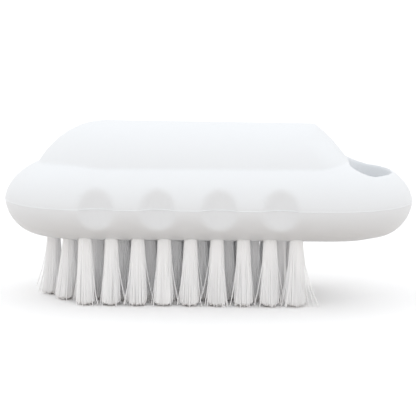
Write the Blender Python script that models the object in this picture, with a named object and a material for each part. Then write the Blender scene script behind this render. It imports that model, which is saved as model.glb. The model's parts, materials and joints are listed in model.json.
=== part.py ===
"""A nail brush in metres, +Z up, standing on its bristle tips with the hanging slot towards +X.

The handle is two white plastic mouldings that meet at a level seam: a hollow cover with a
rounded hump, and a base block with a blind hole for every tuft. Finger dimples run along both
sides through the seam, and a D-shaped slot goes through the end of both mouldings.
"""

import math

import bmesh
import bpy

MM = 0.001

# The outline from above has straight sides and half-round ends, and both mouldings lean in from
# the seam by the draft of their mould.
BODY_LENGTH = 115.0 * MM
BODY_WIDTH = 48.6 * MM
SEAM_GAP = 0.3 * MM
SEAM_LEAN_DEGREES = 5.0
UPPER_DEPTH = 12.0 * MM
LOWER_DEPTH = 10.3 * MM
EDGE_ROUND_SIDE = 14.3 * MM
UPPER_ROUND_END = 19.5 * MM
LOWER_ROUND_END = 10.8 * MM
WALL = 2.2 * MM

# The hump is a round-backed bar with a full ball end on the left and a slope down to the slot.
HUMP_RADIUS = 18.8 * MM
HUMP_RISE = 21.8 * MM
HUMP_FALL = 0.5 * MM
HUMP_SHOULDER = 10.1 * MM
BALL_FULLNESS = 0.93
HUMP_TOE = 1.86 * MM
HUMP_TOE_DROP = 1.9 * MM
HUMP_TOE_HEIGHT = 11.4 * MM
HUMP_TOE_POWER = 1.4
HUMP_CORNER = 12.0 * MM
HUMP_CORNER_LIMIT = 0.8
SLOPE_RUN = 9.2 * MM
SLOPE_BULGE = 0.65 * MM

# The hanging slot: a straight side under the slope, and an arc at an even distance from the end.
# Its top flares open, and below the seam its two sides lean in.
SLOT_LENGTH = 11.6 * MM
SLOT_LOOP_WIDTH = 6.2 * MM
SLOT_CORNER = 2.6 * MM
SLOT_FLARE = 0.8 * MM
SLOT_FOOT_INSET = 3.0 * MM

# The finger dimples, the same on both sides.
DIMPLE_COUNT = 4
DIMPLE_PITCH = 16.6 * MM
DIMPLE_END_INSET = 27.3 * MM
DIMPLE_RADIUS = 6.2 * MM
DIMPLE_HEIGHT = 60.0 * MM
DIMPLE_DEPTH = 2.5 * MM
DIMPLE_LEAN = 0.09

# The tufts stand in staggered rows, and the middle row is the longest. The insets are measured
# from the body's side, from its left end and from the slot, and the tufts share what is between.
BRISTLE_LENGTH = 17.7 * MM
ROW_SIDE_INSET = 9.7 * MM
ROW_STAGGER = 4.6 * MM
SIDE_ROWS = 2
TUFT_SLOT_INSET = 15.4 * MM
SIDE_ROW_END_INSET = 23.64 * MM
MIDDLE_ROW_END_INSET = 13.58 * MM
SIDE_ROW_TUFTS = 9
MIDDLE_ROW_TUFTS = 10
TUFT_RADIUS = 1.85 * MM
TUFT_CORE_RADIUS = 1.0 * MM
TUFT_TIP_RADIUS = 2.75 * MM
TUFT_SIDES = 6
STRAND_GAP = 0.22 * MM
HOLE_CLEARANCE = 0.3 * MM
HOLE_DEPTH = 5.9 * MM
ROOT_RECESS = 1.2 * MM

# Each bundle is folded over a flat wire anchor that holds it in its hole.
ANCHOR_THICKNESS = 0.45 * MM
ANCHOR_HEIGHT = 1.6 * MM

# Inside: ribs under the hump, a lip that centres the cover, and pins that key the two parts.
RIB_THICKNESS = 1.5 * MM
RIB_COUNT = 3
RIB_PITCH = 17.0 * MM
RIB_FOOT = 5.0 * MM
LIP_THICKNESS = 1.2 * MM
LIP_HEIGHT = 1.8 * MM
POCKET_DEPTH = 1.3 * MM
FIT_GAP = 0.3 * MM
PIN_RADIUS = 1.6 * MM
PIN_REACH = 3.6 * MM
PIN_SIDE_INSET = 10.3 * MM
PIN_END_INSET = 16.0 * MM
PIN_SLOT_INSET = 7.7 * MM

# Counts of facets on the round forms.
END_STEPS = 22
EDGE_LEVELS = 8
HUMP_LEVELS = 10
CORNER_STEPS = 4
HOLE_SIDES = 12
DIMPLE_RINGS = 14
SHARP_DEGREES = 32
BACK_TOP_DEGREES = 86

# Heights and centres that follow from the sizes above.
UNDERSIDE_Z = BRISTLE_LENGTH
SEAM_Z = UNDERSIDE_Z + LOWER_DEPTH
LEFT_END_X = -BODY_LENGTH / 2
END_CENTRE_X = (BODY_LENGTH - BODY_WIDTH) / 2
HUMP_BALL_X = LEFT_END_X + HUMP_SHOULDER + HUMP_RADIUS
HUMP_AXIS_Z = SEAM_Z + HUMP_RISE - HUMP_RADIUS
ROOT_TOP_Z = UNDERSIDE_Z + HOLE_DEPTH - HOLE_CLEARANCE - ANCHOR_HEIGHT / 2
SLOT_ARC = BODY_WIDTH / 2 - SLOT_LOOP_WIDTH
SLOT_FRONT_X = BODY_LENGTH / 2 - SLOT_LOOP_WIDTH - SLOT_LENGTH
SLOPE_FOOT_X = SLOT_FRONT_X - SLOT_FLARE
HUMP_CREST_X = SLOPE_FOOT_X - SLOPE_RUN
SLOT_WALL_X = SLOPE_FOOT_X - WALL
LIP_FRONT_X = SLOT_WALL_X - FIT_GAP
FAR = BODY_LENGTH


def clear_scene():
    for thing in list(bpy.data.objects):
        bpy.data.objects.remove(thing, do_unlink=True)


def finish(name, colour, roughness, metallic=0.0):
    material = bpy.data.materials.new(name)
    material.use_nodes = True
    shader = material.node_tree.nodes["Principled BSDF"]
    shader.inputs["Base Color"].default_value = (*colour, 1.0)
    shader.inputs["Roughness"].default_value = roughness
    shader.inputs["Metallic"].default_value = metallic
    return material


def add_object(name, mesh, material=None):
    made = bpy.data.objects.new(name, mesh)
    bpy.context.collection.objects.link(made)
    if material:
        mesh.materials.append(material)
    return made


def as_helper(helper):
    helper.hide_render = True
    helper.display_type = "WIRE"
    return helper


def loft(name, rings):
    """A closed solid through rings of points that run anticlockwise, from the lowest ring up."""
    shape = bmesh.new()
    loops = [[shape.verts.new(point) for point in ring] for ring in rings]
    for below, above in zip(loops, loops[1:]):
        for i in range(len(below)):
            j = (i + 1) % len(below)
            shape.faces.new((below[i], below[j], above[j], above[i]))
    shape.faces.new(reversed(loops[0]))
    shape.faces.new(loops[-1])
    bmesh.ops.recalc_face_normals(shape, faces=shape.faces)
    mesh = bpy.data.meshes.new(name)
    shape.to_mesh(mesh)
    shape.free()
    return mesh


def combine(target, tool, operation):
    change = target.modifiers.new(f"{operation.lower()} {tool.name}", "BOOLEAN")
    change.operation = operation
    change.solver = "EXACT"
    change.object = tool


def settle(piece):
    """Keeps the finished shape of a cut piece as its own mesh, smooth except at its corners."""
    graph = bpy.context.evaluated_depsgraph_get()
    mesh = bpy.data.meshes.new_from_object(piece.evaluated_get(graph))
    mesh.shade_smooth()
    mesh.set_sharp_from_angle(angle=math.radians(SHARP_DEGREES))
    piece.modifiers.clear()
    piece.data = mesh


def box_mesh(name, low, high):
    corners = [(low[0], low[1]), (high[0], low[1]), (high[0], high[1]), (low[0], high[1])]
    return loft(name, [[(x, y, z) for x, y in corners] for z in (low[2], high[2])])


def box(name, low, high):
    return as_helper(add_object(name, box_mesh(name, low, high)))


def circle(x, y, radius, z, sides):
    turns = [math.tau * k / sides for k in range(sides)]
    return [(x + radius * math.cos(turn), y + radius * math.sin(turn), z) for turn in turns]


def round_bar(name, x, y, radius, low, high):
    rings = [circle(x, y, radius, z, HOLE_SIDES) for z in (low, high)]
    return as_helper(add_object(name, loft(name, rings)))


def oval(end_reach, half_width, z):
    """The outline of the body at one level, straight along the sides and round at both ends."""
    ring = []
    for side in (1, -1):
        for k in range(END_STEPS + 1):
            turn = math.pi * k / END_STEPS - math.pi / 2
            x = side * (END_CENTRE_X + end_reach * math.cos(turn))
            ring.append((x, side * half_width * math.sin(turn), z))
    return ring


def body_form(name, inset):
    """The body without its hump, drawn in by the inset: an elliptic edge above and below the seam."""
    radius = BODY_WIDTH / 2
    start = math.radians(SEAM_LEAN_DEGREES)
    rings = []
    for level in range(-EDGE_LEVELS, EDGE_LEVELS + 1):
        turn = start + (math.pi / 2 - start) * abs(level) / EDGE_LEVELS
        drawn_in = 1 - math.cos(turn) / math.cos(start)
        rise = (math.sin(turn) - math.sin(start)) / (1 - math.sin(start))
        depth = UPPER_DEPTH - inset if level > 0 else inset - LOWER_DEPTH
        end_round = (UPPER_ROUND_END if level > 0 else LOWER_ROUND_END) - inset
        reach = radius - inset - end_round * drawn_in
        half_width = radius - inset - (EDGE_ROUND_SIDE - inset) * drawn_in
        rings.append(oval(reach, half_width, SEAM_Z + depth * rise))
    return as_helper(add_object(name, loft(name, rings)))


def slope_x(z):
    """Where the slope at the end of the hump stands at a height: slightly full between its ends."""
    top = SEAM_Z + HUMP_RISE
    foot = SEAM_Z + UPPER_DEPTH
    share = min(1.0, (top - z) / (top - foot))
    full = 4 * share * (1 - share) * SLOPE_BULGE
    return HUMP_CREST_X + SLOPE_RUN * share + full


def toe_reach(z):
    """How far the ball end runs out at its foot, where it meets the shoulder in a hollow curve."""
    foot = SEAM_Z + UPPER_DEPTH - HUMP_TOE_DROP
    share = min(1.0, max(0.0, 1 - (z - foot) / HUMP_TOE_HEIGHT))
    return HUMP_TOE * share**HUMP_TOE_POWER


def back_share(x):
    """How far along the hump's back a place is, from the ball end to the crest of the slope."""
    return (x - HUMP_BALL_X) / (HUMP_CREST_X - HUMP_BALL_X)


def hump_ring(turn, inset):
    """One level of the hump: a half circle at the ball end, and rounded corners at the slope."""
    radius = HUMP_RADIUS - inset
    half_width = radius * math.cos(turn)
    ball = radius * math.cos(turn) ** BALL_FULLNESS
    z = HUMP_AXIS_Z + radius * math.sin(turn)
    corner = min(HUMP_CORNER, half_width * HUMP_CORNER_LIMIT)
    front = slope_x(z + inset) - inset
    ring = []
    for side in (-1, 1):
        for k in range(CORNER_STEPS + 1):
            bend = math.pi / 2 * (k / CORNER_STEPS + (0 if side > 0 else -1))
            x = front - corner + corner * math.cos(bend)
            ring.append((x, side * (half_width - corner) + corner * math.sin(bend), z))
    for k in range(END_STEPS + 1):
        bend = math.pi / 2 + math.pi * k / END_STEPS
        x = HUMP_BALL_X + (ball + toe_reach(z)) * math.cos(bend)
        ring.append((x, half_width * math.sin(bend), z))
    return [(x, y, level - HUMP_FALL * back_share(x)) for x, y, level in ring]


def hump_form(name, inset):
    first = math.asin((SEAM_Z + UPPER_DEPTH / 2 - HUMP_AXIS_Z) / HUMP_RADIUS)
    last = math.radians(BACK_TOP_DEGREES)
    turns = [first + (last - first) * k / HUMP_LEVELS for k in range(HUMP_LEVELS + 1)]
    return as_helper(add_object(name, loft(name, [hump_ring(turn, inset) for turn in turns])))


def slot_outline(grow):
    """The D of the slot: a straight side, an arc about the end's centre, and rounded corners."""
    arc = SLOT_ARC + grow
    corner = SLOT_CORNER + grow
    corner_x = SLOT_FRONT_X - grow + corner
    reach = arc - corner
    corner_y = math.sqrt(reach**2 - (corner_x - END_CENTRE_X) ** 2)
    lean = math.atan2(corner_y, corner_x - END_CENTRE_X)
    points = []
    for k in range(CORNER_STEPS + 1):
        bend = math.pi - (math.pi - lean) * (1 - k / CORNER_STEPS)
        points.append((corner_x + corner * math.cos(bend), corner_y + corner * math.sin(bend)))
    lower_half = [(x, -y) for x, y in reversed(points)]
    arc_points = [
        (END_CENTRE_X + arc * math.cos(bend), arc * math.sin(bend))
        for bend in (lean * (2 * k / END_STEPS - 1) for k in range(1, END_STEPS))
    ]
    return lower_half + arc_points + points


def slot_cutter(name):
    """The slot's hole, flared at the top and narrower across the brush at the underside."""
    levels = (
        (UNDERSIDE_Z - FIT_GAP, 0.0, SLOT_FOOT_INSET),
        (SEAM_Z, 0.0, 0.0),
        (SEAM_Z + UPPER_DEPTH, SLOT_FLARE, 0.0),
        (SEAM_Z + HUMP_RISE, SLOT_FLARE, 0.0),
    )
    rings = []
    for z, grow, inset in levels:
        outline = slot_outline(grow)
        narrowing = 1 - inset / max(y for x, y in outline)
        rings.append([(x, y * narrowing, z) for x, y in outline])
    return as_helper(add_object(name, loft(name, rings)))


def dimple_places():
    for side in (-1, 1):
        for k in range(DIMPLE_COUNT):
            yield LEFT_END_X + DIMPLE_END_INSET + k * DIMPLE_PITCH, side


def dimple_cutter(name, x, side, grow):
    """A tall egg against the side of the body, leaning in below as a fingertip does."""
    radius = DIMPLE_RADIUS + grow
    tall = DIMPLE_HEIGHT / 2 + grow
    y = side * (BODY_WIDTH / 2 + DIMPLE_RADIUS - DIMPLE_DEPTH)
    rings = []
    for level in range(1, DIMPLE_RINGS):
        turn = math.pi * level / DIMPLE_RINGS - math.pi / 2
        across = radius * math.cos(turn)
        rise = tall * math.sin(turn)
        rings.append(circle(x, y + side * DIMPLE_LEAN * rise, across, SEAM_Z + rise, END_STEPS))
    return as_helper(add_object(name, loft(name, rings)))


def dimple_cutters(name, grow):
    return [
        dimple_cutter(f"{name} {k}", x, side, grow) for k, (x, side) in enumerate(dimple_places())
    ]


def outer_form():
    """The whole outside of the handle, before it is parted at the seam."""
    form = body_form("outer body", 0.0)
    combine(form, hump_form("outer hump", 0.0), "UNION")
    for cutter in dimple_cutters("dimple", 0.0):
        combine(form, cutter, "DIFFERENCE")
    combine(form, slot_cutter("slot"), "DIFFERENCE")
    return form


def inner_form():
    """The hollow inside the cover. It stops short of the slot and keeps a wall behind each dimple."""
    form = body_form("inner body", WALL)
    combine(form, hump_form("inner hump", WALL), "UNION")
    for cutter in dimple_cutters("dimple wall", WALL):
        combine(form, cutter, "DIFFERENCE")
    combine(form, box("slot wall", (SLOT_WALL_X, -FAR, -FAR), (FAR, FAR, FAR)), "DIFFERENCE")
    return form


def rib_cutters():
    foot = SEAM_Z + RIB_FOOT
    middle = (HUMP_BALL_X + HUMP_CREST_X) / 2
    for k in range(RIB_COUNT):
        x = middle + (k - (RIB_COUNT - 1) / 2) * RIB_PITCH
        low = (x - RIB_THICKNESS / 2, -FAR, foot)
        yield box(f"rib {k}", low, (x + RIB_THICKNESS / 2, FAR, FAR))


def pin_places():
    y = BODY_WIDTH / 2 - PIN_SIDE_INSET
    ends = (LEFT_END_X + PIN_END_INSET, SLOT_FRONT_X - PIN_SLOT_INSET)
    return [(x, side * y) for x in ends for side in (-1, 1)]


def make_cover(outer, material):
    low = (-FAR, -FAR, SEAM_Z + SEAM_GAP / 2)
    cover = add_object("top_cover", box_mesh("top cover", low, (FAR, FAR, FAR)), material)
    combine(cover, outer, "INTERSECT")
    hollow = inner_form()
    for rib in rib_cutters():
        combine(hollow, rib, "DIFFERENCE")
    combine(cover, hollow, "DIFFERENCE")
    roof = body_form("pin roof", WALL / 2)
    combine(roof, hump_form("pin roof hump", WALL / 2), "UNION")
    for k, (x, y) in enumerate(pin_places()):
        pin = round_bar(f"pin {k}", x, y, PIN_RADIUS, SEAM_Z - PIN_REACH, SEAM_Z + HUMP_RISE)
        combine(pin, roof, "INTERSECT")
        combine(cover, pin, "UNION")
    settle(cover)


def lip_form():
    """What rises from the base inside the cover's wall, before the pocket makes a low lip of it."""
    lip = body_form("lip outside", WALL + FIT_GAP)
    high = (LIP_FRONT_X, FAR, SEAM_Z + LIP_HEIGHT)
    combine(lip, box("lip height", (-FAR, -FAR, SEAM_Z - POCKET_DEPTH / 2), high), "INTERSECT")
    for cutter in dimple_cutters("lip dimple", WALL + FIT_GAP):
        combine(lip, cutter, "DIFFERENCE")
    return lip


def pocket_form():
    """The shallow hollow in the top of the base, which leaves the lip around it."""
    inset = WALL + FIT_GAP + LIP_THICKNESS
    pocket = body_form("pocket", inset)
    high = (LIP_FRONT_X - LIP_THICKNESS, FAR, FAR)
    combine(pocket, box("pocket height", (-FAR, -FAR, SEAM_Z - POCKET_DEPTH), high), "INTERSECT")
    for cutter in dimple_cutters("pocket dimple", inset):
        combine(pocket, cutter, "DIFFERENCE")
    return pocket


def make_base(outer, tufts, material):
    high = (FAR, FAR, SEAM_Z - SEAM_GAP / 2)
    base = add_object("tuft_base", box_mesh("tuft base", (-FAR, -FAR, -FAR), high), material)
    combine(base, outer, "INTERSECT")
    combine(base, lip_form(), "UNION")
    combine(base, pocket_form(), "DIFFERENCE")
    for k, (x, y) in enumerate(pin_places()):
        low = SEAM_Z - PIN_REACH - FIT_GAP
        socket = round_bar(f"socket {k}", x, y, PIN_RADIUS + FIT_GAP, low, SEAM_Z)
        combine(base, socket, "DIFFERENCE")
    radius = TUFT_RADIUS + HOLE_CLEARANCE
    for k, (x, y) in enumerate(tufts):
        top = UNDERSIDE_Z + HOLE_DEPTH
        hole = round_bar(f"hole {k}", x, y, radius, UNDERSIDE_Z - HOLE_DEPTH, top)
        combine(base, hole, "DIFFERENCE")
    settle(base)


def tuft_places():
    """Rows, every second one set back. The middle row starts further out, in the round end."""
    row_pitch = (BODY_WIDTH / 2 - ROW_SIDE_INSET) / SIDE_ROWS
    last = SLOT_FRONT_X - TUFT_SLOT_INSET
    places = []
    for row in range(-SIDE_ROWS, SIDE_ROWS + 1):
        first = LEFT_END_X + (SIDE_ROW_END_INSET if row else MIDDLE_ROW_END_INSET)
        count = SIDE_ROW_TUFTS if row else MIDDLE_ROW_TUFTS
        pitch = (last - first) / (count - 1)
        start = first - (row + SIDE_ROWS) % 2 * ROW_STAGGER
        places += [(start + k * pitch, row * row_pitch) for k in range(count)]
    return places


def strand_cells():
    """The nine four-sided cells of a tuft's root: three rhombs inside a ring of six."""
    sides = TUFT_SIDES
    turns = [math.tau * k / sides for k in range(sides)]
    points = [(0.0, 0.0)]
    for radius in (TUFT_CORE_RADIUS, TUFT_RADIUS):
        points += [(radius * math.cos(turn), radius * math.sin(turn)) for turn in turns]
    cells = [(0, 1 + k, 2 + k, 1 + (k + 2) % sides) for k in range(0, sides, 2)]
    for k in range(sides):
        j = (k + 1) % sides
        cells.append((1 + k, 1 + sides + k, 1 + sides + j, 1 + j))
    return points, cells


def bundle_mesh():
    """A root slice in the hole with nine strands, which spread a little towards their flat tips."""
    shape = bmesh.new()
    points, cells = strand_cells()
    verts = [shape.verts.new((x, y, UNDERSIDE_Z + ROOT_RECESS)) for x, y in points]
    faces = [shape.faces.new([verts[i] for i in reversed(cell)]) for cell in cells]
    edge = verts[-TUFT_SIDES:]
    rim = [shape.verts.new((vert.co.x, vert.co.y, ROOT_TOP_Z)) for vert in edge]
    for k in range(TUFT_SIDES):
        j = (k + 1) % TUFT_SIDES
        shape.faces.new((edge[k], edge[j], rim[j], rim[k]))
    shape.faces.new(rim)
    bmesh.ops.recalc_face_normals(shape, faces=shape.faces)
    bmesh.ops.inset_individual(shape, faces=faces, thickness=STRAND_GAP / 2)
    spread = TUFT_TIP_RADIUS / TUFT_RADIUS - 1
    for end in bmesh.ops.extrude_discrete_faces(shape, faces=faces)["faces"]:
        centre = end.calc_center_median()
        for vert in end.verts:
            vert.co.x += centre.x * spread
            vert.co.y += centre.y * spread
            vert.co.z = 0.0
    mesh = bpy.data.meshes.new("bundle")
    shape.to_mesh(mesh)
    shape.free()
    return mesh


def tuft_mesh(nylon, steel):
    """The bundle with its anchor, a flat piece of wire across the fold at the top of the root."""
    bundle = as_helper(add_object("bundle", bundle_mesh(), nylon))
    half = (TUFT_RADIUS + HOLE_CLEARANCE / 2, ANCHOR_THICKNESS / 2, ANCHOR_HEIGHT / 2)
    low = (-half[0], -half[1], ROOT_TOP_Z - half[2])
    anchor = box("anchor", low, (half[0], half[1], ROOT_TOP_Z + half[2]))
    anchor.data.materials.append(steel)
    combine(bundle, anchor, "UNION")
    bundle.modifiers[-1].material_mode = "TRANSFER"
    settle(bundle)
    return bundle.data


def make_tufts(places, nylon, steel):
    mesh = tuft_mesh(nylon, steel)
    for number, (x, y) in enumerate(places, 1):
        tuft = add_object(f"tuft_{number:02d}", mesh)
        tuft.location = (x, y, 0.0)


def main():
    clear_scene()
    shell_white = finish("satin white plastic", (0.86, 0.88, 0.92), 0.42)
    nylon = finish("white nylon", (0.84, 0.86, 0.88), 0.35)
    steel = finish("anchor wire", (0.62, 0.6, 0.55), 0.35, metallic=1.0)
    tufts = tuft_places()
    outer = outer_form()
    make_cover(outer, shell_white)
    make_base(outer, tufts, shell_white)
    make_tufts(tufts, nylon, steel)


main()
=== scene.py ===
# %% [markdown]
# This script gives a nail brush its looks. The brush has a white plastic grip in two moulded
# halves, and rows of nylon tufts that it stands on. The frame holds the exact construction: it
# says how long and wide everything is and where each tuft stands. Here the same forms are made
# again with soft edges and fine filaments, and each piece takes the place of its frame node.

# %% Load the frame and keep its size
import json
import math
import random

import bmesh
import bpy
from mathutils import Matrix, Vector

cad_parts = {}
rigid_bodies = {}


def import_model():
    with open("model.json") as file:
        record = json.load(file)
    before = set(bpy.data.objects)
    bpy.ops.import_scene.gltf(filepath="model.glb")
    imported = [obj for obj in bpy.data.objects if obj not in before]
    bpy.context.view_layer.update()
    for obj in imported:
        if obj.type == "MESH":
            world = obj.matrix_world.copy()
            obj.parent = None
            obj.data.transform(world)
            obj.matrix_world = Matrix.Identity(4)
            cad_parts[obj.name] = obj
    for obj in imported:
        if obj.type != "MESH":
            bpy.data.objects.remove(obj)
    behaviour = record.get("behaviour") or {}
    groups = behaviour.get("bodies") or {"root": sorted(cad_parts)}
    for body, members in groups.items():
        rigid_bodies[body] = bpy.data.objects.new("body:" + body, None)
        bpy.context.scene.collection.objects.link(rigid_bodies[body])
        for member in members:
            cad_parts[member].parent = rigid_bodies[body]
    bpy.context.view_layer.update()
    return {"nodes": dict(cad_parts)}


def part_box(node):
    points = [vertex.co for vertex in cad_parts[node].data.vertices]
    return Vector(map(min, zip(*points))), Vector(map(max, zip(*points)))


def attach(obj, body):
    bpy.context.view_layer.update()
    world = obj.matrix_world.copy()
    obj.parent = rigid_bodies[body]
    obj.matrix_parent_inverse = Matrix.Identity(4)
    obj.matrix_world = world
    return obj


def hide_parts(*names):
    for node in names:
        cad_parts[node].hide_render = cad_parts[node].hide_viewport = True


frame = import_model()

MM = 0.001

# %% [markdown]
# The brush is seen from its long side, a little from above, with a long lens from about half a
# metre away. A turntable would give any view, but one fixed camera at a measured distance, height
# and turn keeps the perspective of the seam and of the two rows of dimples right. So the camera is
# placed by those values, and aimed at a point in the middle of the grip.

# %% Place the camera
CAMERA_DISTANCE = 450.0 * MM
CAMERA_HEIGHT_DEGREES = 9.07
CAMERA_TURN_DEGREES = 0.43
CAMERA_ROLL_DEGREES = 0.42
CAMERA_AIM = Vector((-0.165, 0.0, 25.03)) * MM
VIEW_WIDTH = 117.85 * MM
SENSOR_WIDTH = 36.0

camera_data = bpy.data.cameras.new("camera")
camera_data.sensor_width = SENSOR_WIDTH
camera_data.lens = SENSOR_WIDTH * CAMERA_DISTANCE / VIEW_WIDTH
camera_data.clip_start = 10 * MM
camera = bpy.data.objects.new("camera", camera_data)
bpy.context.scene.collection.objects.link(camera)
bpy.context.scene.camera = camera

height = math.radians(CAMERA_HEIGHT_DEGREES)
turn = math.radians(CAMERA_TURN_DEGREES)
towards_camera = Vector(
    (math.sin(turn) * math.cos(height), -math.cos(turn) * math.cos(height), math.sin(height))
)
level_right = Vector((0, 0, 1)).cross(towards_camera).normalized()
roll = Matrix.Rotation(math.radians(CAMERA_ROLL_DEGREES), 3, towards_camera)
right = roll @ level_right
up = towards_camera.cross(right)
camera.matrix_world = Matrix.Translation(CAMERA_AIM + towards_camera * CAMERA_DISTANCE) @ Matrix(
    (right, up, towards_camera)
).transposed().to_4x4()
print("lens:", round(camera_data.lens, 1), "mm")

# %% [markdown]
# Bpy operators act on everything that is selected, and the frame comes in selected. So a few
# helpers come first: one that leaves a single object selected, one that picks vertices by a rule
# while a mesh is open for editing, one that adds a modifier and applies it at once, and one that
# joins or cuts a piece with a tool.


# %% Helpers for working by hand
def take(piece):
    """Leaves only this object selected and active."""
    for other in bpy.context.view_layer.objects:
        other.select_set(False)
    piece.select_set(True)
    bpy.context.view_layer.objects.active = piece


def edit(piece):
    """Opens the piece's mesh for editing, vertex by vertex."""
    take(piece)
    bpy.ops.object.mode_set(mode="EDIT")
    bpy.ops.mesh.select_mode(type="VERT")


def leave_edit():
    bpy.ops.object.mode_set(mode="OBJECT")


def pick(rule):
    """In edit mode, selects the vertices that pass the rule, and what lies between them."""
    mesh = bpy.context.object.data
    shape = bmesh.from_edit_mesh(mesh)
    for vert in shape.verts:
        vert.select_set(bool(rule(vert)))
    shape.select_flush(True)
    bmesh.update_edit_mesh(mesh)


def apply_modifier(piece, kind, **settings):
    """Adds a modifier with its settings and applies it at once."""
    take(piece)
    change = piece.modifiers.new(kind.lower(), kind)
    for name, value in settings.items():
        setattr(change, name, value)
    bpy.ops.object.modifier_apply(modifier=change.name)


def combine(piece, tool, operation):
    """Joins, cuts or trims the piece with the tool, and throws the tool away."""
    apply_modifier(piece, "BOOLEAN", operation=operation, object=tool, solver="EXACT")
    bpy.data.objects.remove(tool, do_unlink=True)


# %% [markdown]
# The grip's outline, hump and slot are all made of arcs. One way to get them is to move vertices
# one by one. It is easier to start each level as a plain circle and then to stretch and move its
# arcs apart: two arcs make an oblong, and three make a rounded hump or a letter D. The levels are
# then bridged into a skin, as a boat is planked over its frames.

# %% Rings of arcs and a skin over them
AROUND = 144


def add_ring(z, radius, arcs):
    """Adds a circle in edit mode. Each arc has two angles, a stretch and a move, both in x and y."""
    bpy.ops.mesh.primitive_circle_add(vertices=AROUND, radius=radius, location=(0, 0, z))
    half_step = math.pi / AROUND
    bpy.ops.transform.rotate(value=half_step, orient_axis="Z", center_override=(0, 0, z))
    shape = bmesh.from_edit_mesh(bpy.context.object.data)
    shape.verts.index_update()
    ring = {v.index: math.degrees(math.atan2(v.co.y, v.co.x)) for v in shape.verts if v.select}
    for start, stop, stretch, move in arcs:
        chosen = {index for index, bend in ring.items() if (bend - start) % 360 < stop - start}
        pick(lambda vert: vert.index in chosen)
        bpy.ops.transform.resize(value=(*stretch, 1), center_override=(0, 0, z))
        bpy.ops.transform.translate(value=(*move, 0))


def skin(name, rings):
    """A closed solid over the rings, which are given from the lowest up."""
    bpy.ops.object.add(type="MESH")
    piece = bpy.context.object
    piece.name = name
    edit(piece)
    for ring in rings:
        add_ring(*ring)
    bpy.ops.mesh.select_all(action="SELECT")
    bpy.ops.mesh.bridge_edge_loops()
    bpy.ops.mesh.select_all(action="SELECT")
    bpy.ops.mesh.fill_holes(sides=0)
    bpy.ops.mesh.normals_make_consistent(inside=False)
    leave_edit()
    return piece


# %% [markdown]
# The grip is an oblong pebble that parts at a level seam. Its edge is an elliptic curve above the
# seam and another below. The ends are rounder than the sides above the seam, and fuller below it.
# Both curves start a few degrees off the upright, as the draft of a mould asks, so the seam is a
# faint ridge. Each level is a circle whose halves are moved apart. Levels at even heights would
# leave wide flat steps near the top and the underside, so they are spaced evenly round the curve.

# %% The pebble of the grip
base_low, base_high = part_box("tuft_base")
_, cover_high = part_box("top_cover")
HALF_LENGTH = base_high[0]
HALF_WIDTH = base_high[1]
UNDERSIDE_Z = base_low[2]
LOWER_DEPTH = 10.3 * MM
UPPER_DEPTH = 12.0 * MM
SEAM_Z = UNDERSIDE_Z + LOWER_DEPTH
SHOULDER_Z = SEAM_Z + UPPER_DEPTH
SEAM_LEAN_DEGREES = 5.0
SEAM_LEAN = math.radians(SEAM_LEAN_DEGREES)
SIDE_ROUND = 14.3 * MM
UPPER_END_ROUND = 19.5 * MM
LOWER_END_ROUND = 10.8 * MM
END_CENTRE_X = HALF_LENGTH - HALF_WIDTH
EDGE_LEVELS = 22


def pebble_ring(level):
    """One level of the pebble, numbered from the underside at minus EDGE_LEVELS upwards."""
    bend = SEAM_LEAN + (math.pi / 2 - SEAM_LEAN) * abs(level) / EDGE_LEVELS
    drawn_in = 1 - math.cos(bend) / math.cos(SEAM_LEAN)
    rise = (math.sin(bend) - math.sin(SEAM_LEAN)) / (1 - math.sin(SEAM_LEAN))
    depth, end_round = (UPPER_DEPTH, UPPER_END_ROUND) if level > 0 else (-LOWER_DEPTH, LOWER_END_ROUND)
    end_reach = HALF_WIDTH - end_round * drawn_in
    half_width = HALF_WIDTH - SIDE_ROUND * drawn_in
    stretch = (end_reach / HALF_WIDTH, half_width / HALF_WIDTH)
    right_half = (-90, 90, stretch, (END_CENTRE_X, 0))
    left_half = (90, 270, stretch, (-END_CENTRE_X, 0))
    return SEAM_Z + depth * rise, HALF_WIDTH, (right_half, left_half)


grip = skin("grip", [pebble_ring(level) for level in range(-EDGE_LEVELS, EDGE_LEVELS + 1)])
print("pebble:", len(grip.data.polygons), "faces")

# %% [markdown]
# Four dimples along each side give the fingers a hold. A fingertip pressed into clay leaves a
# hollow that fades out at its edge. So each dimple is cut by a tall egg, and the edge is then
# worked soft: the mesh is rebuilt in small even cells, and the cells near the dimples are
# smoothed many times. A bevel would need a clean edge loop, which a cut does not leave.

# %% Cut the dimples and soften their edges
DIMPLE_COUNT = 4
DIMPLE_PITCH = 16.6 * MM
DIMPLE_END_INSET = 27.3 * MM
DIMPLE_RADIUS = 6.2 * MM
DIMPLE_HEIGHT = 60.0 * MM
DIMPLE_DEPTH = 2.5 * MM
DIMPLE_LEAN_DEGREES = 5.1
FIRST_DIMPLE_X = -HALF_LENGTH + DIMPLE_END_INSET
DIMPLE_CENTRES = [FIRST_DIMPLE_X + k * DIMPLE_PITCH for k in range(DIMPLE_COUNT)]
EGG_SEGMENTS = 64
EGG_RINGS = 48
FORM_CELL = 0.45 * MM
SMOOTH_FACTOR = 0.5
DIMPLE_SOFT_PASSES = 16
DIMPLE_SOFT_RADIUS = 9.5 * MM
DIMPLE_SOFT_FADE = 1.0 * MM
DIMPLE_SIDE_Y = HALF_WIDTH / 2

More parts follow.
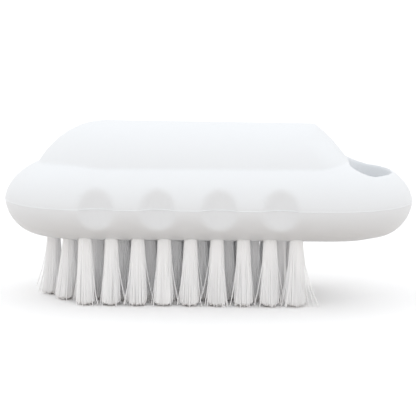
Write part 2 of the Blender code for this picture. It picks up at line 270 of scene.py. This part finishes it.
for side in (-1, 1):
    for x in DIMPLE_CENTRES:
        place = (x, side * (HALF_WIDTH + DIMPLE_RADIUS - DIMPLE_DEPTH), SEAM_Z)
        bpy.ops.mesh.primitive_uv_sphere_add(
            segments=EGG_SEGMENTS, ring_count=EGG_RINGS, radius=DIMPLE_RADIUS, location=place
        )
        egg = bpy.context.object
        edit(egg)
        bpy.ops.mesh.select_all(action="SELECT")
        bpy.ops.transform.resize(
            value=(1, 1, DIMPLE_HEIGHT / 2 / DIMPLE_RADIUS), center_override=place
        )
        lean = side * math.radians(DIMPLE_LEAN_DEGREES)
        bpy.ops.transform.rotate(value=lean, orient_axis="X", center_override=place)
        leave_edit()
        combine(grip, egg, "DIFFERENCE")


def soften(piece, passes, weight_at):
    """Smooths the piece where weight_at, a rule on a vertex's place, is above 0."""
    group = piece.vertex_groups.new(name="soft")
    for vert in piece.data.vertices:
        weight = weight_at(vert.co)
        if weight > 0:
            group.add([vert.index], min(1.0, weight), "REPLACE")
    apply_modifier(
        piece, "SMOOTH", factor=SMOOTH_FACTOR, iterations=passes, vertex_group="soft"
    )
    piece.vertex_groups.clear()


def near_dimple(co):
    """Full on the sides round each dimple, and 0 beyond its soft radius and in the grip's middle."""
    if abs(co.y) < DIMPLE_SIDE_Y:
        return 0.0
    away = min(math.hypot(co.x - x, co.z - SEAM_Z) for x in DIMPLE_CENTRES)
    return (DIMPLE_SOFT_RADIUS - away) / DIMPLE_SOFT_FADE


apply_modifier(grip, "REMESH", mode="VOXEL", voxel_size=FORM_CELL)
soften(grip, DIMPLE_SOFT_PASSES, near_dimple)
print("grip with dimples:", len(grip.data.polygons), "faces")

# %% [markdown]
# On top sits the hump that fills the palm: a half-round bar with a full ball end on the left,
# which runs out in a small hollow toe, and a slope down to the slot on the right, which is a little
# full half way down. A bar and a ball could be joined, but the joint would show. So the hump is one
# skin, and its levels are circles of three arcs: a half circle at the ball end, and a rounded corner
# each side of the slope.

# %% The hump
HUMP_RADIUS = 18.8 * MM
HUMP_RISE = cover_high[2] - SEAM_Z
HUMP_FALL_DEGREES = 0.49
HUMP_SHOULDER = 10.1 * MM
HUMP_CORNER = 9.0 * MM
HUMP_CORNER_LIMIT = 0.8
BALL_FULLNESS = 0.93
TOE = 1.86 * MM
TOE_DROP = 1.9 * MM
TOE_HEIGHT = 11.4 * MM
TOE_POWER = 1.4
SLOPE_RUN = 9.2 * MM
SLOPE_BULGE = 0.65 * MM
SLOT_LENGTH = 11.6 * MM
SLOT_LOOP_WIDTH = 6.2 * MM
SLOT_FLARE = 0.8 * MM
HUMP_LEVELS = 30
HUMP_TOP_DEGREES = 88
HUMP_FOOT_Z = SEAM_Z + UPPER_DEPTH / 2
HUMP_AXIS_Z = SEAM_Z + HUMP_RISE - HUMP_RADIUS
BALL_X = -HALF_LENGTH + HUMP_SHOULDER + HUMP_RADIUS
SLOT_FRONT_X = HALF_LENGTH - SLOT_LOOP_WIDTH - SLOT_LENGTH
CREST_X = SLOT_FRONT_X - SLOT_FLARE - SLOPE_RUN


def hump_ring(bend):
    """One level of the hump, by its angle round the back: 0 beside the axis, a right angle on top."""
    half_width = HUMP_RADIUS * math.cos(bend)
    z = HUMP_AXIS_Z + HUMP_RADIUS * math.sin(bend)
    toe_share = min(1.0, max(0.0, 1 - (z - SHOULDER_Z + TOE_DROP) / TOE_HEIGHT))
    ball = HUMP_RADIUS * math.cos(bend) ** BALL_FULLNESS + TOE * toe_share**TOE_POWER
    slope_share = min(1.0, (SEAM_Z + HUMP_RISE - z) / (HUMP_RISE - UPPER_DEPTH))
    bulge = 4 * slope_share * (1 - slope_share) * SLOPE_BULGE
    front = CREST_X + SLOPE_RUN * slope_share + bulge
    corner = min(HUMP_CORNER, half_width * HUMP_CORNER_LIMIT)
    corner_y = half_width - corner
    ball_end = (90, 270, (ball / corner, half_width / corner), (BALL_X, 0))
    left_corner = (0, 90, (1, 1), (front - corner, corner_y))
    right_corner = (-90, 0, (1, 1), (front - corner, -corner_y))
    return z, corner, (ball_end, left_corner, right_corner)


first_bend = math.asin((HUMP_FOOT_Z - HUMP_AXIS_Z) / HUMP_RADIUS)
last_bend = math.radians(HUMP_TOP_DEGREES)
bends = [first_bend + (last_bend - first_bend) * k / HUMP_LEVELS for k in range(HUMP_LEVELS + 1)]
hump = skin("hump", [hump_ring(bend) for bend in bends])
edit(hump)
bpy.ops.mesh.select_all(action="SELECT")
bpy.ops.transform.rotate(
    value=-math.radians(HUMP_FALL_DEGREES), orient_axis="Y", center_override=(BALL_X, 0, SHOULDER_Z)
)
leave_edit()
combine(grip, hump, "UNION")
print("grip with hump:", len(grip.data.polygons), "faces")

# %% [markdown]
# The brush hangs on a hook by a D-shaped slot through its right end. The slot's straight side lies
# at the foot of the slope, and its arc keeps a loop of plastic round it, a little wider at the very
# end. It flares at the top, and its two sides lean in towards the underside. A box and a cylinder
# would cut it in two goes with sharp corners. One cutter does it here: four rings of three arcs, of
# which the lowest is squeezed across the brush.

# %% The hanging slot
SLOT_CORNER = 3.2 * MM
SLOT_FOOT_INSET = 3.0 * MM
SLOT_END_INSET = 0.5 * MM
SLOT_ARC = HALF_WIDTH - SLOT_LOOP_WIDTH
CUT_BELOW = 0.3 * MM
CUT_ABOVE = 1.0 * MM


def slot_ring(z, grow, inset):
    """One level of the slot: the D larger by grow all round, with both its sides in by inset."""
    arc = SLOT_ARC + grow
    corner = SLOT_CORNER + grow
    corner_x = SLOT_FRONT_X - grow + corner
    corner_y = math.sqrt((arc - corner) ** 2 - (corner_x - END_CENTRE_X) ** 2)
    lean = math.degrees(math.atan2(corner_y, corner_x - END_CENTRE_X))
    squeeze = 1 - inset / (corner_y + corner)
    arc_start = arc * math.cos(math.radians(lean))
    flatten = 1 - SLOT_END_INSET / (arc - arc_start)
    arc_move = (END_CENTRE_X + arc_start * (1 - flatten), 0)
    loop_arc = (-lean, lean, (arc / corner * flatten, arc / corner * squeeze), arc_move)
    far_corner = (lean, 180, (1, squeeze), (corner_x, corner_y * squeeze))
    near_corner = (180, 360 - lean, (1, squeeze), (corner_x, -corner_y * squeeze))
    return z, corner, (loop_arc, far_corner, near_corner)


slot_levels = (
    (UNDERSIDE_Z - CUT_BELOW, 0.0, SLOT_FOOT_INSET),
    (SEAM_Z, 0.0, 0.0),
    (SHOULDER_Z, SLOT_FLARE, 0.0),
    (SEAM_Z + HUMP_RISE + CUT_ABOVE, SLOT_FLARE, 0.0),
)
slot = skin("slot", [slot_ring(*level) for level in slot_levels])
combine(grip, slot, "DIFFERENCE")
print("grip with slot:", len(grip.data.polygons), "faces")

# %% [markdown]
# A moulded edge is never knife sharp. The whole form is rebuilt once more in small cells and
# smoothed a few times, which leaves a fine fillet along the crease. The slot gets many more passes,
# which round its rim by about a millimetre and blend it into the foot of the slope.

# %% Round the crease and the rim
FINE_CELL = 0.36 * MM
EDGE_PASSES = 6
RIM_PASSES = 18
RIM_REACH = 3.0 * MM
RIM_FADE_SHARE = 0.5


def near_slot(co):
    """Full near the slot's rim, then fading over a share of the reach, and 0 beyond the reach."""
    past_arc = math.hypot(co.x - END_CENTRE_X, co.y) - SLOT_ARC - SLOT_FLARE
    past_front = SLOT_FRONT_X - SLOT_FLARE - co.x
    return (1 - max(past_arc, past_front) / RIM_REACH) / RIM_FADE_SHARE


apply_modifier(grip, "REMESH", mode="VOXEL", voxel_size=FINE_CELL)
apply_modifier(grip, "SMOOTH", factor=SMOOTH_FACTOR, iterations=EDGE_PASSES)
soften(grip, RIM_PASSES, near_slot)
print("whole grip:", len(grip.data.polygons), "faces")

# %% [markdown]
# The grip is moulded in two halves that meet at the seam: a cover with the hump, and a base that
# holds the tufts. The whole form is copied, and each copy is trimmed by a plain block, so that the
# two outlines match all round. A hairline of a tenth of a millimetre stays between them.

# %% Part the grip at the seam
SEAM_GAP = 0.1 * MM
BLOCK = 4 * HALF_LENGTH


def half_of(whole, name, side):
    """A copy of the grip, kept above the seam where side is 1 and below it where side is -1."""
    take(whole)
    bpy.ops.object.duplicate()
    half = bpy.context.object
    half.name = name
    centre_z = SEAM_Z + side * (SEAM_GAP + BLOCK) / 2
    bpy.ops.mesh.primitive_cube_add(size=BLOCK, location=(0, 0, centre_z))
    combine(half, bpy.context.object, "INTERSECT")
    return half


cover = half_of(grip, "cover_shell", 1)
base = half_of(grip, "base_block", -1)
print("cover:", len(cover.data.polygons), "base:", len(base.data.polygons))

# %% [markdown]
# Every tuft sits in its own blind hole in the base. One drill bit is modelled, copied to each
# tuft's place inside one mesh, and all the holes are cut in one go. The bit's middle is at the
# underside, so it is twice as long as a hole is deep.

# %% Drill the base
TUFT_NODES = sorted(name for name in frame["nodes"] if name.startswith("tuft_") and name != "tuft_base")
HOLE_RADIUS = 2.15 * MM
HOLE_DEPTH = 5.9 * MM
HOLE_SIDES = 32


def tuft_centre(tuft_node):
    """Where a tuft stands, from the middle of its node's box."""
    low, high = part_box(tuft_node)
    return ((low[0] + high[0]) / 2, (low[1] + high[1]) / 2)


tuft_centres = [tuft_centre(name) for name in TUFT_NODES]
bpy.ops.mesh.primitive_cylinder_add(
    vertices=HOLE_SIDES,
    radius=HOLE_RADIUS,
    depth=2 * HOLE_DEPTH,
    location=(*tuft_centres[0], UNDERSIDE_Z),
)
drill = bpy.context.object
edit(drill)
bpy.ops.mesh.select_all(action="SELECT")
for before, after in zip(tuft_centres, tuft_centres[1:]):
    step = (after[0] - before[0], after[1] - before[1], 0)
    bpy.ops.mesh.duplicate_move(TRANSFORM_OT_translate={"value": step})
leave_edit()
combine(base, drill, "DIFFERENCE")
print("holes:", len(tuft_centres), "base:", len(base.data.polygons), "faces")

# %% [markdown]
# Where the halves are pressed together, a fine bead of plastic stands a tenth of a millimetre
# proud all round and catches the light. It could be painted as a line, but it is a real ridge. The
# grip's own outline at the seam is cut out of it as a wire, and the wire becomes a thin bead. Its
# lower half is pressed flat and its upper half drawn tall, so that it is all lit from above, and
# the whole bead sits a little low, over the parting line.

# %% The bead along the seam
BEAD_RADIUS = 0.17 * MM
BEAD_SINK = 0.07 * MM
BEAD_UPPER_STRETCH = 1.7
BEAD_LOWER_STRETCH = 0.2
BEAD_PASSES = 4
BEAD_DROP = 0.15 * MM
BEAD_RESOLUTION = 2
ON_PLANE = 1e-7

edit(grip)
bpy.ops.mesh.select_all(action="SELECT")
bpy.ops.mesh.bisect(
    plane_co=(0, 0, SEAM_Z),
    plane_no=(0, 0, 1),
    clear_inner=True,
    clear_outer=True,
    threshold=ON_PLANE,
)
bpy.ops.mesh.select_all(action="SELECT")
bpy.ops.mesh.vertices_smooth(factor=SMOOTH_FACTOR, repeat=BEAD_PASSES)
drawn_in = (1 - BEAD_SINK / HALF_LENGTH, 1 - BEAD_SINK / HALF_WIDTH, 1)
bpy.ops.transform.resize(value=drawn_in, center_override=(0, 0, SEAM_Z))
leave_edit()
take(grip)
bpy.ops.object.convert(target="CURVE")
bead = bpy.context.object
bead.name = "seam_bead"
bead.data.bevel_depth = BEAD_RADIUS
bead.data.bevel_resolution = BEAD_RESOLUTION
bpy.ops.object.convert(target="MESH")
for side, stretch in ((1, BEAD_UPPER_STRETCH), (-1, BEAD_LOWER_STRETCH)):
    edit(bead)
    pick(lambda vert: (vert.co.z - SEAM_Z) * side > 0)
    bpy.ops.transform.resize(value=(1, 1, stretch), center_override=(0, 0, SEAM_Z))
    leave_edit()
edit(bead)
bpy.ops.mesh.select_all(action="SELECT")
bpy.ops.transform.translate(value=(0, 0, -BEAD_DROP))
leave_edit()
print("bead:", len(bead.data.polygons), "faces")

# %% [markdown]
# A tuft is a bundle of nylon filaments, folded over a flat wire and pressed into its hole. Hair
# particles would need a long set-up. Each filament here is a short spline of five points, and
# the curve object gives them all one round section. The filaments leave the hole upright and
# spread towards their tips. The middle ones are the longest, so the tuft ends in a low dome. One in
# seven reaches past the dome, and each ends a little short at random, which makes the tuft ragged.

# %% One tuft of filaments
FILAMENTS = 380
FILAMENT_RADIUS = 0.11 * MM
BUNDLE_RADIUS = 1.74 * MM
TIP_SPREAD = 1.5
ROOT_REACH = 4.0 * MM
GOLDEN_TURN = math.pi * (3 - math.sqrt(5))
TIP_SCATTER = 0.14 * MM
TIP_DOME = 1.1 * MM
LONG_SHARE = 0.14
RAGGED_END = 0.22 * MM
TUFT_LEAN = 0.15 * MM
FILAMENT_STEPS = (0.0, 0.35, 0.7, 1.0)
BUNDLE_FLARE = 1.1


def add_filament(curve, root, tip, flare_power):
    """One filament from the bottom of its hole, straight to the mouth, then curving to its tip."""
    points = [(root.x, root.y, UNDERSIDE_Z + ROOT_REACH)]
    for share in FILAMENT_STEPS:
        flare = share**flare_power
        x = root.x + (tip.x - root.x) * flare
        y = root.y + (tip.y - root.y) * flare
        points.append((x, y, UNDERSIDE_Z + (tip.z - UNDERSIDE_Z) * share))
    spline = curve.splines.new("POLY")
    spline.points.add(len(points) - 1)
    for point, place in zip(spline.points, points):
        point.co = (*place, 1.0)


def bundle(curve, centre, lean, draw):
    """The filaments of one tuft, spread evenly over the hole like seeds in a sunflower."""
    for k in range(FILAMENTS):
        out = BUNDLE_RADIUS * math.sqrt((k + 0.5) / FILAMENTS)
        bend = GOLDEN_TURN * k
        offset = Vector((out * math.cos(bend), out * math.sin(bend), 0))
        scatter = Vector((draw.gauss(0, TIP_SCATTER), draw.gauss(0, TIP_SCATTER), 0))
        tip = centre + offset * TIP_SPREAD + scatter + lean
        dome = TIP_DOME * (out / BUNDLE_RADIUS) ** 2
        tip.z = dome * draw.random() if draw.random() < LONG_SHARE else dome
        tip.z += abs(draw.gauss(0, RAGGED_END))
        add_filament(curve, centre + offset, tip, BUNDLE_FLARE)


print("filaments in a tuft:", FILAMENTS, "of radius", FILAMENT_RADIUS / MM, "mm")

# %% [markdown]
# Some filaments always escape their bundle. A few in each tuft leave it half way down and lean
# across the gaps. A small fan of them stands off the left end, and another off the right end of
# the front row. A filament keeps its length, so the further it leans, the higher its tip is: the
# tip rises with the square of the lean. The left fan is curled by use and rises most, and the right
# fan is long and stays low.

# %% Strays
STRAYS = (7, 11)
STRAY_LEAN = (1.3 * MM, 3.0 * MM)
STRAY_FLARE = 1.7
STRAY_RISE = 0.1 / MM
LEFT_FAN = (1.4, 1.8, 2.2, 2.6, 3.5)
LEFT_RISE = 0.2 / MM
RIGHT_FAN = (1.3, 2.1, 3.4, 4.9)
RIGHT_RISE = 0.02 / MM
FAN_SPREAD = 0.4


def add_stray(curve, centre, bend, lean, rise):
    """One filament from the bundle's rim that leans outwards, the way that bend points."""
    offset = Vector((math.cos(bend), math.sin(bend), 0)) * BUNDLE_RADIUS
    tip = centre + offset * (1 + lean / BUNDLE_RADIUS)
    tip.z = rise * lean**2
    add_filament(curve, centre + offset, tip, STRAY_FLARE)


def strays(curve, centre, draw):
    """The few strays of an ordinary tuft, any way round."""
    for _ in range(draw.randint(*STRAYS)):
        bend = draw.uniform(0, math.tau)
        add_stray(curve, centre, bend, draw.uniform(*STRAY_LEAN), STRAY_RISE)


def fan(curve, centre, middle, leans, rise, draw):
    """One stray for each lean, in millimetres, all about one direction."""
    for lean in leans:
        bend = middle + draw.uniform(-FAN_SPREAD, FAN_SPREAD)
        add_stray(curve, centre, bend, lean * MM, rise)


print("fans:", len(LEFT_FAN), "strays on the left and", len(RIGHT_FAN), "on the right")

# %% [markdown]
# The bundle is folded over a flat piece of wire, which bites into the walls of the hole as a round
# one would not. The wire is a small block with its edges taken off. A curve leaves the end caps of
# its tubes loose, so a tuft's mesh also has to be welded shut.

# %% The anchor wire and closed filaments
WIRE_LENGTH = 4.0 * MM
WIRE_WIDTH = 0.45 * MM
WIRE_HEIGHT = 1.6 * MM
WIRE_BEVEL = WIRE_WIDTH / 5
WIRE_DEPTH = 4.8 * MM
WIRE_Z = UNDERSIDE_Z + WIRE_DEPTH
CAP_WELD = 0.0001 * MM


def make_wire(centre):
    """The wire across one hole, over the upper ends of the filaments."""
    bpy.ops.mesh.primitive_cube_add(size=1.0, location=(centre.x, centre.y, WIRE_Z))
    wire = bpy.context.object
    edit(wire)
    bpy.ops.mesh.select_all(action="SELECT")
    bpy.ops.transform.resize(
        value=(WIRE_LENGTH, WIRE_WIDTH, WIRE_HEIGHT), center_override=(centre.x, centre.y, WIRE_Z)
    )
    bpy.ops.mesh.bevel(offset=WIRE_BEVEL, segments=1)
    leave_edit()
    return wire


def close_ends(tuft):
    """Welds the end caps of the filaments, which a curve leaves loose, to their tubes."""
    edit(tuft)
    bpy.ops.mesh.select_all(action="SELECT")
    bpy.ops.mesh.remove_doubles(threshold=CAP_WELD)
    bpy.ops.mesh.normals_make_consistent(inside=False)
    leave_edit()


print("wires lie at", round(WIRE_Z / MM, 2), "mm")

# %% [markdown]
# Each tuft becomes one piece in the place of its frame node. One tuft could be made and copied, but
# then every bundle would be ragged in the same way, so each draws its own filaments from its own
# seed. At the left end use has splayed the bundles: the middle row's first tuft leans out a little,
# and the first tufts of the two rows beside it lean out more, from the left side of their holes.

# %% Make all the tufts
SEED = 7
FILAMENT_RESOLUTION = 1
LEFT_TUFT = min(tuft_centres)
FRONT_RIGHT_TUFT = max(tuft_centres, key=lambda place: (-round(place[1] / MM), place[0]))
FIRST_TUFTS_REACH = 7.0 * MM
FIRST_TUFTS_X = LEFT_TUFT[0] + FIRST_TUFTS_REACH
FIRST_LEAN = 0.6 * MM
SECOND_LEAN = 1.1 * MM
SECOND_ROOT_SHIFT = 0.28 * MM


def make_tuft(number, place):
    """The bundle, strays and fans of one tuft as a closed mesh."""
    draw = random.Random(SEED + number)
    centre = Vector((*place, 0.0))
    lean = Vector((draw.gauss(0, TUFT_LEAN), draw.gauss(0, TUFT_LEAN), 0))
    curve = bpy.data.curves.new(f"bristles_{number:02d}", "CURVE")
    curve.dimensions = "3D"
    curve.bevel_depth = FILAMENT_RADIUS
    curve.bevel_resolution = FILAMENT_RESOLUTION
    curve.use_fill_caps = True
    if place == LEFT_TUFT:
        lean.x -= FIRST_LEAN
    elif place[0] < FIRST_TUFTS_X:
        centre.x -= SECOND_ROOT_SHIFT
        lean.x -= SECOND_LEAN
    bundle(curve, centre, lean, draw)
    strays(curve, centre, draw)
    if place == LEFT_TUFT:
        fan(curve, centre, math.pi, LEFT_FAN, LEFT_RISE, draw)
    if place == FRONT_RIGHT_TUFT:
        fan(curve, centre, 0.0, RIGHT_FAN, RIGHT_RISE, draw)
    tuft = bpy.data.objects.new(curve.name, curve)
    bpy.context.scene.collection.objects.link(tuft)
    take(tuft)
    bpy.ops.object.convert(target="MESH")
    close_ends(bpy.context.object)
    return bpy.context.object


tufts = [make_tuft(number, place) for number, place in enumerate(tuft_centres, 1)]
print("tufts:", len(tufts), "faces each:", len(tufts[0].data.polygons))

# %% [markdown]
# Materials are built from nodes. Written out, every node takes several lines, so one small class
# wraps a socket: a sum or a product of two wrapped sockets adds its Math node by itself. The Mix
# node names its colour sockets alike, so they are told apart by their numbers.


# %% Shader maths as plain sums
class Signal:
    """An output socket of a material. Sums and products of signals add the Math nodes."""

    def __init__(self, tree, socket):
        self.tree = tree
        self.socket = socket

    def maths(self, operation, first, second):
        return node(self.tree, "ShaderNodeMath", {"operation": operation}, {0: first, 1: second})

    def __add__(self, other):
        return self.maths("ADD", self, other)

    def __sub__(self, other):
        return self.maths("SUBTRACT", self, other)

    def __mul__(self, other):
        return self.maths("MULTIPLY", self, other)

    __radd__ = __add__


def put(tree, socket, value):
    """Links a signal to a socket, or sets the socket's own value."""
    if isinstance(value, Signal):
        tree.links.new(value.socket, socket)
    else:
        socket.default_value = value


def node(tree, kind, settings=None, sockets=None, output=0):
    """Adds any node: its settings first, then the values or links of its sockets."""
    made = tree.nodes.new(kind)
    for name, value in (settings or {}).items():
        setattr(made, name, value)
    for name, value in (sockets or {}).items():
        put(tree, made.inputs[name], value)
    return Signal(tree, made.outputs[output])


def new_finish(name):
    """A new material, with its node tree and its shader."""
    material = bpy.data.materials.new(name)
    material.use_nodes = True
    tree = material.node_tree
    return material, tree, tree.nodes["Principled BSDF"]


MIX_SHARE = 0
MIX_FIRST = 6
MIX_SECOND = 7
MIX_COLOUR = 2


def blend_colours(tree, share, first, second):
    """The first colour where the share is 0 and the second where it is 1."""
    sockets = {MIX_SHARE: share, MIX_FIRST: (*first, 1), MIX_SECOND: (*second, 1)}
    return node(tree, "ShaderNodeMix", {"data_type": "RGBA"}, sockets, MIX_COLOUR)


# %% [markdown]
# The grip is satin white plastic with a very fine grain, which blurs its highlights. The grain is a
# small bump from fine noise, which also varies the roughness a little. The colour is an almost even
# cool white: a slow, faint mottling keeps it from looking like paint on a screen.

# %% Satin white plastic
PLASTIC_WHITE = (0.818, 0.838, 0.858)
PLASTIC_SHADE = (0.806, 0.826, 0.846)
PLASTIC_ROUGHNESS = 0.42
PLASTIC_ROUGHNESS_SPREAD = 0.08
GRAIN_SIZE = 0.25 * MM
GRAIN_DEPTH = 0.01 * MM
MOTTLE_SIZE = 6.0 * MM
NOISE_DETAIL = 2.0


def noise(tree, size):
    """Even noise whose patches are about as large as the size."""
    place = node(tree, "ShaderNodeTexCoord", output="Object")
    sockets = {"Vector": place, "Scale": 1 / size, "Detail": NOISE_DETAIL}
    return node(tree, "ShaderNodeTexNoise", None, sockets)


def satin_plastic():
    material, tree, shader = new_finish("satin white plastic")
    grain = noise(tree, GRAIN_SIZE)
    mottle = noise(tree, MOTTLE_SIZE)
    colour = blend_colours(tree, mottle, PLASTIC_SHADE, PLASTIC_WHITE)
    put(tree, shader.inputs["Base Color"], colour)
    smoothest = PLASTIC_ROUGHNESS - PLASTIC_ROUGHNESS_SPREAD / 2
    put(tree, shader.inputs["Roughness"], smoothest + grain * PLASTIC_ROUGHNESS_SPREAD)
    relief = {"Height": grain, "Distance": GRAIN_DEPTH, "Strength": 1.0}
    put(tree, shader.inputs["Normal"], node(tree, "ShaderNodeBump", None, relief))
    return material


plastic = satin_plastic()
for piece in (cover, base, bead):
    piece.data.materials.clear()
    piece.data.materials.append(plastic)
print("plastic:", len(plastic.node_tree.nodes), "nodes")

# %% [markdown]
# Nylon filament is white but a little glassy. A real bundle shows fine light and dark streaks,
# because no two filaments face the light alike. Noise that is stretched along the filaments gives
# each its own tone. The anchors are plain metal wire.

# %% White nylon and the anchor wire
NYLON_LIGHT = (0.988, 0.992, 0.997)
NYLON_SHADE = (0.974, 0.978, 0.984)
NYLON_ROUGHNESS = 0.38
NYLON_ROUGHNESS_SPREAD = 0.1
STREAK_SIZE = 0.25 * MM
STREAK_LENGTH = 30.0 * MM
STREAK_DETAIL = 1.0
STREAK_CONTRAST = 1.6
STREAK_DROP = 0.3
WIRE_METAL = (0.62, 0.6, 0.55, 1)
WIRE_ROUGHNESS = 0.25
WIRE_ROUGHNESS_SPREAD = 0.2
WIRE_PATCH = 1.0 * MM


def nylon_filament():
    material, tree, shader = new_finish("white nylon")
    place = node(tree, "ShaderNodeTexCoord", output="Object")
    squeeze = (1 / STREAK_SIZE, 1 / STREAK_SIZE, 1 / STREAK_LENGTH)
    drawn = node(tree, "ShaderNodeMapping", None, {"Vector": place, "Scale": squeeze})
    sockets = {"Vector": drawn, "Scale": 1.0, "Detail": STREAK_DETAIL}
    streak = node(tree, "ShaderNodeTexNoise", None, sockets)
    share = streak * STREAK_CONTRAST - STREAK_DROP
    put(tree, shader.inputs["Base Color"], blend_colours(tree, share, NYLON_SHADE, NYLON_LIGHT))
    smoothest = NYLON_ROUGHNESS - NYLON_ROUGHNESS_SPREAD / 2
    put(tree, shader.inputs["Roughness"], smoothest + streak * NYLON_ROUGHNESS_SPREAD)
    return material


def anchor_wire():
    material, tree, shader = new_finish("anchor wire")
    put(tree, shader.inputs["Base Color"], WIRE_METAL)
    put(tree, shader.inputs["Metallic"], 1.0)
    dull = noise(tree, WIRE_PATCH) * WIRE_ROUGHNESS_SPREAD
    put(tree, shader.inputs["Roughness"], WIRE_ROUGHNESS + dull)
    return material


nylon = nylon_filament()
wire_finish = anchor_wire()
for number, place in enumerate(tuft_centres):
    tuft = tufts[number]
    tuft.data.materials.clear()
    tuft.data.materials.append(nylon)
    wire = make_wire(Vector((*place, 0.0)))
    wire.data.materials.append(wire_finish)
    take(tuft)
    wire.select_set(True)
    bpy.ops.object.join()
print("tuft with wire:", len(tufts[0].data.polygons), "faces")

# %% [markdown]
# Every piece now rides on the brush's one body and takes the place of its frame node. The bead has
# no node of its own. Faces that meet at less than fifty degrees are then shaded as one smooth
# surface.

# %% Fit the pieces to the frame
SMOOTH_DEGREES = 50

for piece in (cover, base, bead):
    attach(piece, "root")
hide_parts("top_cover")
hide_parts("tuft_base")
for tuft, tuft_node in zip(tufts, TUFT_NODES):
    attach(tuft, "root")
    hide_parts(tuft_node)

for piece in (cover, base, bead, *tufts):
    take(piece)
    bpy.ops.object.shade_smooth_by_angle(angle=math.radians(SMOOTH_DEGREES))
print("pieces:", 3 + len(tufts))

# %% [markdown]
# The brush stands on a plain pale floor. A white floor alone would light the brush from below as
# strongly as the room does from above, so the floor has two colours: the camera sees it as white,
# with the brush's soft shadow on it, and it sends back less light, and warmer, as a table does.

# %% The floor
FLOOR_SIZE = 20.0
FLOOR_WHITE = (1.0, 1.0, 1.0)
FLOOR_BOUNCE = (0.615, 0.57, 0.53)
FLOOR_ROUGHNESS = 0.9


def seen_directly(tree):
    """1 for what the camera sees, also in a reflection or through glass, and 0 for soft light."""
    rays = tree.nodes.new("ShaderNodeLightPath")
    names = ("Is Camera Ray", "Is Glossy Ray", "Is Transmission Ray")
    camera_ray, glossy_ray, glass_ray = (Signal(tree, rays.outputs[name]) for name in names)
    return camera_ray + glossy_ray + glass_ray


bpy.ops.mesh.primitive_plane_add(size=FLOOR_SIZE, location=(0, 0, 0))
floor = bpy.context.object
floor.name = "floor"
floor_finish, floor_tree, floor_shader = new_finish("floor")
floor_colour = blend_colours(floor_tree, seen_directly(floor_tree), FLOOR_BOUNCE, FLOOR_WHITE)
put(floor_tree, floor_shader.inputs["Base Color"], floor_colour)
put(floor_tree, floor_shader.inputs["Roughness"], FLOOR_ROUGHNESS)
put(floor_tree, floor_shader.inputs["Specular IOR Level"], 0.0)
floor.data.materials.append(floor_finish)
print("floor:", FLOOR_SIZE, "m wide")

# %% [markdown]
# The room is bright and even. Lamps round a white tent would do the same. Here the world is the
# tent: one even and slightly cool white, which the camera sees as plain white. White plastic and
# nylon hand most of their light on, from one filament to the next, and it fades only after many
# steps. Blender stops after four, which leaves the tufts too dark, so the light is followed further.

# %% The light
ROOM_COLOUR = (0.975, 0.98, 0.99, 1)
ROOM_LIGHT = 1.18
ROOM_WHITE = (1, 1, 1, 1)
WHITE_BOUNCES = 16

world = bpy.data.worlds.new("room")
bpy.context.scene.world = world
world.use_nodes = True
room = world.node_tree
room.nodes.clear()
lit = node(room, "ShaderNodeBackground", None, {"Color": ROOM_COLOUR, "Strength": ROOM_LIGHT})
white = node(room, "ShaderNodeBackground", None, {"Color": ROOM_WHITE, "Strength": 1.0})
mixed = node(room, "ShaderNodeMixShader", None, {0: seen_directly(room), 1: lit, 2: white})
out = room.nodes.new("ShaderNodeOutputWorld")
put(room, out.inputs["Surface"], mixed)
bpy.context.scene.view_settings.view_transform = "Standard"
bpy.context.scene.cycles.diffuse_bounces = WHITE_BOUNCES
bpy.context.scene.cycles.max_bounces = WHITE_BOUNCES
print("room light:", ROOM_LIGHT, "bounces:", WHITE_BOUNCES)
